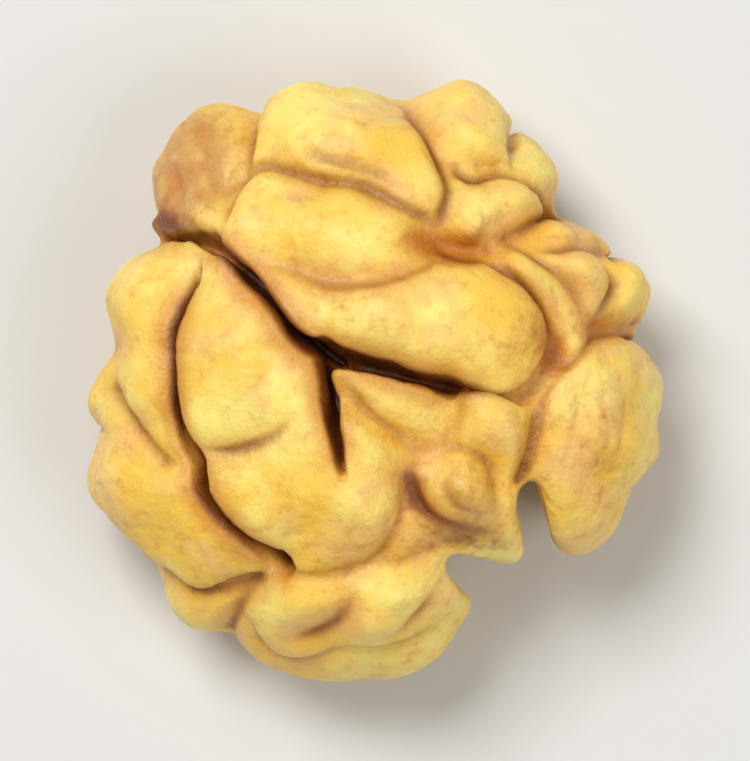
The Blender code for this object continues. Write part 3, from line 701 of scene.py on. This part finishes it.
def on_dome(x, y):
    """The point of the domed side over x, y, and its normal."""
    rim = float(rim_radius(np.array(x), np.array(y)))
    out = math.hypot(x, y) / rim
    if out > MOST_OUT:
        x, y, out = MOST_OUT * x / out, MOST_OUT * y / out, MOST_OUT
    height = DOME_HEIGHT * math.sqrt(1 - out * out)
    normal = np.array([x / rim**2, y / rim**2, height / DOME_HEIGHT**2])
    normal /= np.linalg.norm(normal)
    return np.array([x, y, RIM_HEIGHT + height]) + normal * piled(SWELLINGS, x, y), normal


def on_side(azimuth, latitude):
    """The point of the body in this direction, in degrees, and its normal."""
    around = math.radians((azimuth + 180) % 360 - 180)
    up = math.radians(latitude)
    rim = float(np.interp(around, RIM_DIRECTIONS, RIM_RADII))
    height = DOME_HEIGHT if latitude > 0 else UNDER_DEPTH
    sizes = np.array([rim, rim, height])
    ray = np.array([math.cos(up) * math.cos(around), math.cos(up) * math.sin(around), math.sin(up)])
    normal = ray / sizes
    return ray * sizes + [0.0, 0.0, RIM_HEIGHT], normal / np.linalg.norm(normal)


def smooth_path(points, spacing):
    """A Catmull-Rom curve through the points, sampled about once every spacing."""
    p = np.array(points, float)
    ends = np.vstack([2 * p[0] - p[1], p, 2 * p[-1] - p[-2]])
    samples = []
    for a, b, c, d in zip(ends, ends[1:], ends[2:], ends[3:]):
        count = max(2, int(np.hypot(*(c - b)[:2]) / spacing))
        for t in np.arange(count) / count:
            line = 2 * b + (c - a) * t
            bend = (2 * a - 5 * b + 4 * c - d) * t**2 + (3 * b - a - 3 * c + d) * t**3
            samples.append(0.5 * (line + bend))
    samples.append(p[-1])
    return np.array(samples)


def along(places, direction):
    """How far the places lie along a direction."""
    x, y, z = places
    return x * direction[0] + y * direction[1] + z * direction[2]


def moved_back(places, direction, distance):
    return [axis - distance * part for axis, part in zip(places, direction)]


def from_curtain(places, ends, shares, inward, depth):
    """How the places lie to the curtain that hangs inward from the stretch between these ends.

    Gives the distance, the distance to the left, how far under the path the curtain's nearest point
    is, and the crease's share there."""
    length = np.linalg.norm(ends[1] - ends[0])
    ahead = (ends[1] - ends[0]) / length
    inward = inward - ahead * (ahead @ inward)
    inward /= np.linalg.norm(inward)
    from_start = [axis - start for axis, start in zip(places, ends[0])]
    t = np.clip(along(from_start, ahead), 0, length)
    share = shares[0] + (shares[1] - shares[0]) * t / length
    from_path = moved_back(from_start, ahead, t)
    under = np.clip(along(from_path, inward), -CREASE_TOP, depth * np.minimum(share, MOST_DEPTH_SHARE))
    x, y, z = moved_back(from_path, inward, under)
    distance = np.sqrt(x * x + y * y + z * z)
    return distance, along((x, y, z), np.cross(ahead, inward)), under, share


class Imprint:
    """What a crease does at each grid point of its window, gathered from its curtain's stretches."""

    def __init__(self, size):
        self.gap = np.full(size, FAR, np.float32)
        self.nearest = np.full(size, FAR, np.float32)
        self.raised = np.zeros(size, np.float32)
        self.sunk = np.zeros(size, np.float32)
        self.stain_and_shade = np.zeros(size, np.float32)
        self.crease_shade = np.zeros(size, np.float32)

    def take(self, part, crease, distance, left, under, share):
        """Adds what one stretch does in its part of the window."""
        lean = share * np.tanh(left / LEAN_TURN) * np.exp(-((distance / LEAN_REACH) ** 2))
        self.raised[part] = np.where(distance < self.nearest[part], lean, self.raised[part])
        self.nearest[part] = np.minimum(self.nearest[part], distance)
        closing = 1 - SLIT_LOSS * np.clip(under / crease.depth, 0, 1)
        opening = SLIT_AT_ENDS + (1 - SLIT_AT_ENDS) * np.minimum(share, MOST_SLIT_SHARE)
        shut = share < SHUT_SHARE
        self.gap[part] = np.minimum(self.gap[part], distance - crease.slit * opening * closing + shut)
        sunk = np.minimum(share, MOST_ROLL_SHARE) * np.exp(-distance / crease.spread)
        self.sunk[part] = np.maximum(self.sunk[part], sunk)
        # The brown with painted shade inside the crease, and the orange shade painted around it.
        for colour, width in ((self.stain_and_shade, STAIN_AND_SHADE_WIDTH), (self.crease_shade, CREASE_SHADE_WIDTH)):
            strength = np.minimum(share, 1.0) * np.exp(-((distance / width) ** 2))
            colour[part] = np.maximum(colour[part], strength)


class Field:
    """Values at each grid point.

    outside is the distance outside the flesh; of the two colours, the first is the brown inside a crease,
    its skin's brown with painted shade, and the second the orange shade painted on the flesh around a
    crease."""

    def __init__(self):
        counts = np.ceil((np.array(GRID_HIGH) - GRID_LOW) / GRID_STEP).astype(int) + 1
        self.whole = tuple(slice(0, n) for n in counts)
        x, y, z = self.places(self.whole)
        rim = rim_radius(x, y)
        radius = np.hypot(x, y)
        above = z - RIM_HEIGHT
        height = np.where(above > 0, DOME_HEIGHT, UNDER_DEPTH)
        reach = np.sqrt((radius / rim) ** 2 + (above / height) ** 2)
        slope = np.sqrt((radius / rim**2) ** 2 + (above / height**2) ** 2) + TINY
        upper = smooth_step(above / SWELLING_FADE + 0.5)
        self.outside = (reach * (reach - 1) / slope - piled(SWELLINGS, x, y) * upper).astype(np.float32)
        self.stain_and_shade = np.zeros(self.outside.shape, np.float32)
        self.crease_shade = np.zeros(self.outside.shape, np.float32)

    def window(self, low, high):
        """The part of the grid between two corners."""
        first = np.floor((np.array(low) - GRID_LOW) / GRID_STEP).astype(int)
        last = np.ceil((np.array(high) - GRID_LOW) / GRID_STEP).astype(int) + 1
        spans = zip(np.maximum(first, 0), last, self.whole)
        return tuple(slice(a, max(a, min(b, whole.stop))) for a, b, whole in spans)

    def places(self, window):
        """The window's x, y and z, which numpy spreads over the grid."""
        steps = [np.arange(w.start, w.stop, dtype=np.float32) * GRID_STEP for w in window]
        return np.meshgrid(*(low + s for low, s in zip(GRID_LOW, steps)), indexing="ij", sparse=True)

    def egg(self, window, shape):
        """The distance outside an egg-shaped space, within the window."""
        x, y, z = self.places(window)
        yaw = math.radians(shape.yaw)
        x, y, z = x - shape.centre[0], y - shape.centre[1], z - shape.centre[2]
        x, y = x * math.cos(yaw) + y * math.sin(yaw), y * math.cos(yaw) - x * math.sin(yaw)
        a, b, c = shape.half_sizes
        reach = np.sqrt((x / a) ** 2 + (y / b) ** 2 + (z / c) ** 2)
        slope = np.sqrt((x / a**2) ** 2 + (y / b**2) ** 2 + (z / c**2) ** 2) + TINY
        return reach * (reach - 1) / slope

    def cut(self, hollow):
        """Takes an egg-shaped space out."""
        space = self.egg(self.whole, hollow)
        self.outside = smooth_max(self.outside, -space, hollow.rounding)

    def add(self, lump):
        """Adds an egg-shaped piece, with a crease where it meets the rest."""
        centre = np.array(lump.centre)
        margin = max(lump.half_sizes) + WINDOW_SPARE
        window = self.window(centre - margin, centre + margin)
        self.outside[window] = smooth_min(self.outside[window], self.egg(window, lump), LUMP_ROUNDING)

    def press(self, crease, place, spacing):
        """Presses a crease in, along a path whose points place puts on the body."""
        path = smooth_path(crease.path, spacing)
        points, normals = (np.array(rows) for rows in zip(*(place(x, y) for x, y, _ in path)))
        shares = np.maximum(path[:, 2], 0.0)
        margin = max(FOLD_REACH * crease.spread, crease.depth, CREASE_TOP) + WINDOW_SPARE
        window = self.window(points.min(axis=0) - margin, points.max(axis=0) + margin)
        imprint = Imprint(self.outside[window].shape)
        for i in range(len(points) - 1):
            ends = points[i : i + 2]
            near = self.window(ends.min(axis=0) - margin, ends.max(axis=0) + margin)
            part = tuple(slice(n.start - w.start, n.stop - w.start) for n, w in zip(near, window))
            inward = -normals[i] - normals[i + 1]
            lie = from_curtain(self.places(near), ends, shares[i : i + 2], inward, crease.depth)
            imprint.take(part, crease, *lie)
        self.outside[window] += crease.roll * imprint.sunk - crease.lean * imprint.raised
        if crease.slit:
            self.outside[window] = smooth_max(self.outside[window], -imprint.gap, SLIT_ROUNDING)
        # The crease's brown with painted shade inside it, and orange shade painted around it.
        self.stain_and_shade[window] = np.maximum(self.stain_and_shade[window], crease.dark * imprint.stain_and_shade)
        self.crease_shade[window] = np.maximum(self.crease_shade[window], crease.dark * imprint.crease_shade)

    def end_at_floor(self):
        """Takes away what is under the floor."""
        _, _, z = self.places(self.whole)
        self.outside = smooth_max(self.outside, -z + np.zeros_like(self.outside), FOOT_ROUNDING)


def kernel_field():
    """The whole kernel, before its warps and wrinkles."""
    field = Field()
    for index, (azimuth, slant, at_rim) in enumerate(SIDE_CREASES):
        field.press(side_crease(index, azimuth, slant, at_rim), on_side, SIDE_SPACING)
    for crease in CREASES.values():
        field.press(crease, on_dome, DOME_SPACING)
    for hollow in UNDER_HOLLOWS:
        field.cut(hollow)
    for lump in [*LUMPS, *inner_folds()]:
        field.add(lump)
    for notch in NOTCHES:
        field.cut(notch)
    field.end_at_floor()
    return field


def between(places, ease, value_at):
    """Values at places between whole numbers, from those at the eight corners around each place."""
    cell = np.floor(places).astype(int)
    t = ease(places - cell)
    total = 0.0
    for corner in np.ndindex(2, 2, 2):
        weight = np.prod(np.where(corner, t, 1 - t), axis=1)
        total = total + weight * value_at(cell + corner)
    return total


def noise(points, wavelength, seed):
    """Smooth noise from about -1 to 1, from random values on a lattice that repeats."""
    size = NOISE_LATTICE
    values = np.random.default_rng(seed).uniform(-1, 1, (size, size, size))
    return between(
        points / wavelength,
        lambda t: t * t * t * (t * (6 * t - 15) + 10),
        lambda cells: values[tuple((cells % size).T)],
    )


def noises(points, wavelength, seed):
    """Three noises side by side, one for each axis."""
    return np.stack([noise(points, wavelength, seed + i) for i in range(3)], axis=1)


def sampled(grid, points):
    """The grid's values at these places, in between grid points too."""
    return between((points - GRID_LOW) / GRID_STEP, lambda t: t, lambda cells: grid[tuple(cells.T)])


def faces_of(field):
    """(points, quads) of the surface where the field is zero."""
    grid = openvdb.FloatGrid(FIELD_REACH)
    grid.copyFromArray(np.clip(field.outside, -FIELD_REACH, FIELD_REACH))
    grid.transform = openvdb.createLinearTransform(GRID_STEP)
    points, quads = grid.convertToQuads(0.0)
    return points + np.array(GRID_LOW), quads


def rows_of(elements, name, width, kind=np.float32):
    """What the elements of a mesh hold under this name, with a row for each."""
    values = np.empty(len(elements) * width, kind)
    elements.foreach_get(name, values)
    return values.reshape(-1, width)


def set_points(mesh, points):
    mesh.vertices.foreach_set("co", points.astype(np.float32).ravel())
    mesh.update()


def add_attribute(mesh, name, values):
    layer = mesh.attributes.new(name, "FLOAT", "POINT")
    layer.data.foreach_set("value", values.astype(np.float32))


def smoothed(values, edges, rounds):
    """The values, averaged with their neighbours' this many times."""
    a, b = edges.T
    count = len(values)
    degree = np.bincount(a, minlength=count) + np.bincount(b, minlength=count)
    for _ in range(rounds):
        total = np.stack(
            [np.bincount(a, v[b], count) + np.bincount(b, v[a], count) for v in values.T], axis=1
        )
        values = 0.5 * values + 0.5 * total / degree[:, None]
    return values


def tip_share(x, y, z):
    """1 on top of the lobe at the pointed end, less down its side and falling to 0 around it."""
    reach = np.hypot((x - TIP_CENTRE[0]) / TIP_SIZES[0], (y - TIP_CENTRE[1]) / TIP_SIZES[1])
    strength = TIP_FOOT + (1 - TIP_FOOT) * smooth_step((z - TIP_LOW) / TIP_RISE)
    return strength * (1 - smooth_step((reach - TIP_FULL) / TIP_FADE))


def skin_lift(points):
    """How far the wrinkles and lines raise the skin."""
    lift = sum(height * noise(points, wavelength, seed) for wavelength, height, seed in WRINKLES)
    for wavelength, depth, seed in LINES:
        lift = lift - depth * np.exp(-((noise(points, wavelength, seed) / LINE_WIDTH) ** 2))
    return lift


def under_folds(points, normals):
    """(lift, brown with painted shade) of the brain-like folds of the hollow underside."""
    x, y, _ = points.T
    inside = 1 - smooth_step((np.hypot(x, y) / rim_radius(x, y) - UNDER_EDGE) / UNDER_EDGE_FADE)
    share = smooth_step(-UNDER_FACING * normals[:, 2]) * inside
    lift = 0.0
    stain_and_shade = 0.0
    wavelength, amplitude, seed = UNDER_FOLD_BEND
    bent = points + amplitude * noises(points, wavelength, seed)
    for wavelength, depth, seed in UNDER_FOLDS:
        out = np.abs(noise(bent, wavelength, seed)) / UNDER_FOLD_WIDTH
        lift = lift - depth * np.exp(-out)
        stain_and_shade = np.maximum(stain_and_shade, UNDER_STAIN_AND_SHADE * depth * np.exp(-UNDER_STAIN_AND_SHADE_NARROWING * out * out))
    return lift * share, stain_and_shade * share


def fine_mesh():
    """The surface as fine as the grid, warped and wrinkled, with the colours of its creases: their brown
    with painted shade inside and the orange shade painted around them.
    """
    field = kernel_field()
    points, quads = faces_of(field)
    mesh = bpy.data.meshes.new("kernel_skin")
    mesh.from_pydata(points.tolist(), [], quads.tolist())
    mesh.update()
    normals = rows_of(mesh.vertices, "normal", 3)
    stain_and_shade = sampled(field.stain_and_shade, points)
    crease_shade = sampled(field.crease_shade, points)
    off_floor = np.clip(points[:, 2:] / FOOT_FADE, 0.0, 1.0)
    for wavelength, amplitude, seed in WARPS:
        points = points + noises(points, wavelength, seed) * amplitude * off_floor
    under_lift, under_stain_and_shade = under_folds(points, normals)
    lift = skin_lift(points) + under_lift
    set_points(mesh, points + normals * lift[:, None] * off_floor)
    # The underside's folds are painted browner and more orange the deeper they are: painted shade.
    add_attribute(mesh, "stain_and_shade", np.maximum(stain_and_shade, under_stain_and_shade))
    add_attribute(mesh, "crease_shade", np.maximum(crease_shade, under_stain_and_shade))
    return mesh


def thinned(mesh):
    """A copy of the mesh with fewer triangles."""
    holder = add_object("fine_surface", mesh)
    thin = holder.modifiers.new("thin", "DECIMATE")
    thin.ratio = TRIANGLES / (2 * len(mesh.polygons))
    thin.use_collapse_triangulate = True
    graph = bpy.context.evaluated_depsgraph_get()
    result = bpy.data.meshes.new_from_object(holder.evaluated_get(graph))
    bpy.data.objects.remove(holder)
    return result


def fitted(points):
    """The points in metres, stretched a few percent so that their box is the CAD box."""
    low, high = (np.array(corner) for corner in cad_box)
    shares = (points - points.min(axis=0)) / np.ptp(points, axis=0)
    return low + shares * (high - low)


def kernel_mesh():
    """The finished mesh, with what the skin's layers follow as attributes."""
    mesh = thinned(fine_mesh())
    points = rows_of(mesh.vertices, "co", 3)
    normals = rows_of(mesh.vertices, "normal", 3)
    edges = rows_of(mesh.edges, "vertices", 2, np.int32)
    near = smoothed(points, edges, NEAR_ROUNDS)
    far = smoothed(near, edges, FAR_ROUNDS)
    x, y, z = points.T
    domed = smooth_step((z - PATCH_LOW) / PATCH_FADE)
    # groove is below zero on small ridges and above it in small grooves, valley above zero in broad valleys;
    # the skin paints highlight and shade after them.
    add_attribute(mesh, "groove", ((near - points) * normals).sum(axis=1))
    add_attribute(mesh, "valley", ((far - points) * normals).sum(axis=1))
    add_attribute(mesh, "tip", tip_share(x, y, z))
    # Ochre patches, partly painted shade in the dips, and rust patches, partly painted shadow by the nodule.
    add_attribute(mesh, "ochre_and_shade", piled(OCHRE_AND_SHADE_PATCHES, x, y) * domed)
    add_attribute(mesh, "rust_and_shadow", piled(RUST_AND_SHADOW_PATCHES, x, y) * domed)
    set_points(mesh, fitted(points))
    mesh.shade_smooth()
    return mesh


class Nodes:
    """Short ways to add shader nodes to one material."""

    def __init__(self, name):
        self.material = bpy.data.materials.new(name)
        self.material.use_nodes = True
        self.tree = self.material.node_tree
        self.shader = self.tree.nodes["Principled BSDF"]

    def add(self, kind, **inputs):
        """A node, with values or other nodes' outputs on its named inputs."""
        node = self.tree.nodes.new(kind)
        for name, value in inputs.items():
            self.put(node.inputs[name], value)
        return node

    def put(self, socket, value):
        """Links another node's output to the socket, or sets a plain value on it."""
        if isinstance(value, bpy.types.NodeSocket):
            self.tree.links.new(value, socket)
        else:
            socket.default_value = value

    def operate(self, kind, operation, a, b):
        """A Math or Vector Math node with two operands."""
        node = self.tree.nodes.new(kind)
        node.operation = operation
        self.put(node.inputs[0], a)
        self.put(node.inputs[1], b)
        return node.outputs[0]

    def math(self, operation, a, b):
        return self.operate("ShaderNodeMath", operation, a, b)

    def scaled(self, vector, scale):
        return self.operate("ShaderNodeVectorMath", "MULTIPLY", vector, (scale, scale, scale))

    def ramp(self, value, low, high):
        """0 where value is at low or past it, 1 where it is at high or past it."""
        node = self.tree.nodes.new("ShaderNodeMapRange")
        node.interpolation_type = "SMOOTHSTEP"
        self.put(node.inputs["Value"], value)
        self.put(node.inputs["From Min"], low)
        self.put(node.inputs["From Max"], high)
        return node.outputs["Result"]

    def mix(self, share, *colours):
        """The first colour where share is 0, the second where it is 1."""
        node = self.tree.nodes.new("ShaderNodeMix")
        node.data_type = "RGBA"
        self.put(node.inputs["Factor"], share)
        for socket, colour in zip(MIX_INPUTS, colours):
            self.put(node.inputs[socket], colour)
        return node.outputs[MIX_RESULT]

    def attribute(self, name):
        node = self.tree.nodes.new("ShaderNodeAttribute")
        node.attribute_name = name
        return node.outputs["Fac"]

    def noise(self, vector, scale, detail, roughness):
        node = self.add("ShaderNodeTexNoise", Vector=vector, Scale=scale, Detail=detail, Roughness=roughness)
        return node.outputs["Fac"]


def stretched(nodes, mm):
    """Places drawn out along the line from the nut's tip to its other end, for streaks."""
    turned = nodes.add("ShaderNodeMapping", Vector=mm)
    turned.inputs["Rotation"].default_value = (0.0, 0.0, STREAK_TURN)
    turned.inputs["Scale"].default_value = (1.0, STREAK_SCALE, 1.0)
    return turned.outputs[0]


def vein_pattern(nodes, mm, drawn_out):
    """1 on a net of thin wavering lines, 0 between them."""
    wander = nodes.add("ShaderNodeTexNoise", Vector=mm, Scale=VEIN_WAVER_SCALE, Detail=VEIN_WAVER_DETAIL)
    waver = nodes.scaled(wander.outputs["Color"], VEIN_WAVER)
    moved = nodes.operate("ShaderNodeVectorMath", "ADD", drawn_out, waver)
    net = nodes.add("ShaderNodeTexVoronoi", Vector=moved, Scale=VEIN_SCALE)
    net.feature = "DISTANCE_TO_EDGE"
    return nodes.ramp(net.outputs["Distance"], VEIN_WIDTH, 0.0)


def skin_patterns(nodes):
    """What the skin's layers and relief follow, by name."""
    place = nodes.add("ShaderNodeTexCoord").outputs["Object"]
    mm = nodes.scaled(place, 1 / MM)
    drawn_out = stretched(nodes, mm)
    patterns = {name: nodes.noise(mm, *numbers) for name, numbers in SKIN_NOISES.items()}
    patterns["streaks"] = nodes.noise(drawn_out, *STREAK_NOISE)
    patterns["veins"] = vein_pattern(nodes, mm, drawn_out)
    for name in ("stain_and_shade", "crease_shade", "groove", "valley"):
        patterns[name] = nodes.attribute(name)
    uneven = nodes.math("MULTIPLY", nodes.math("SUBTRACT", patterns["mottle"], 0.5), PATCH_UNEVENNESS)
    for name in ("tip", "ochre_and_shade", "rust_and_shadow"):
        patterns[name] = nodes.math("ADD", nodes.attribute(name), uneven)
    return patterns


def skin_material():
    nodes = Nodes("walnut_skin")
    patterns = skin_patterns(nodes)
    colour = WARM_YELLOW
    for pattern, low, high, strength, over in SKIN_LAYERS:
        share = nodes.math("MULTIPLY", nodes.ramp(patterns[pattern], low, high), strength)
        colour = nodes.mix(share, colour, over)
    height = 0.0
    for name, share in RELIEF.items():
        height = nodes.math("ADD", height, nodes.math("MULTIPLY", patterns[name], share))
    bump = nodes.add("ShaderNodeBump", Strength=RELIEF_STRENGTH, Distance=RELIEF_HEIGHT, Height=height)
    gloss = nodes.math("ADD", nodes.math("MULTIPLY", patterns["mottle"], ROUGHNESS_VARIATION), ROUGHNESS)
    skin = {
        "Base Color": colour,
        "Roughness": gloss,
        "Subsurface Weight": SUBSURFACE,
        "Subsurface Radius": SUBSURFACE_RADIUS,
        "Subsurface Scale": SUBSURFACE_DEPTH,
        "Normal": bump.outputs["Normal"],
    }
    for name, value in skin.items():
        nodes.put(nodes.shader.inputs[name], value)
    return nodes.material


def floor_material():
    nodes = Nodes("floor_paint")
    nodes.shader.inputs["Base Color"].default_value = FLOOR_COLOUR
    nodes.shader.inputs["Roughness"].default_value = FLOOR_ROUGHNESS
    return nodes.material


def add_object(name, data):
    thing = bpy.data.objects.new(name, data)
    bpy.context.scene.collection.objects.link(thing)
    return thing


def add_kernel():
    kernel = add_object("kernel_surface", kernel_mesh())
    kernel.data.materials.append(skin_material())
    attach(kernel, "root")
    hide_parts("kernel")


def add_floor():
    half = FLOOR_HALF_WIDTH
    mesh = bpy.data.meshes.new("floor")
    corners = [(-half, -half, 0), (half, -half, 0), (half, half, 0), (-half, half, 0)]
    mesh.from_pydata(corners, [], [(0, 1, 2, 3)])
    mesh.materials.append(floor_material())
    add_object("floor", mesh)


def add_lamp(name, place, size, power, target):
    """A square lamp that is turned to the target."""
    light = bpy.data.lights.new(name, "AREA")
    light.size = size
    light.energy = power
    holder = add_object(name, light)
    holder.location = place
    holder.rotation_euler = (target - Vector(place)).to_track_quat("-Z", "Y").to_euler()


def add_world():
    world = bpy.data.worlds.new("studio")
    world.use_nodes = True
    background = world.node_tree.nodes["Background"]
    background.inputs["Color"].default_value = WORLD_COLOUR
    background.inputs["Strength"].default_value = WORLD_STRENGTH
    bpy.context.scene.world = world


def add_camera(target):
    """Looks straight down on the target, as the photograph does."""
    camera = bpy.data.cameras.new("camera")
    camera.sensor_width = CAMERA_SENSOR
    camera.lens = CAMERA_SENSOR * CAMERA_DISTANCE / CAMERA_FIELD
    camera.clip_start = CAMERA_CLIP
    holder = add_object("camera", camera)
    holder.location = (target.x, target.y, target.z + CAMERA_DISTANCE)
    bpy.context.scene.camera = holder


def main():
    add_kernel()
    add_floor()
    middle = Vector([(a + b) / 2 for a, b in zip(*cad_box)])
    for lamp in LAMPS:
        add_lamp(*lamp, middle)
    add_world()
    add_camera(middle)
    bpy.context.scene.view_settings.view_transform = "Standard"


main()
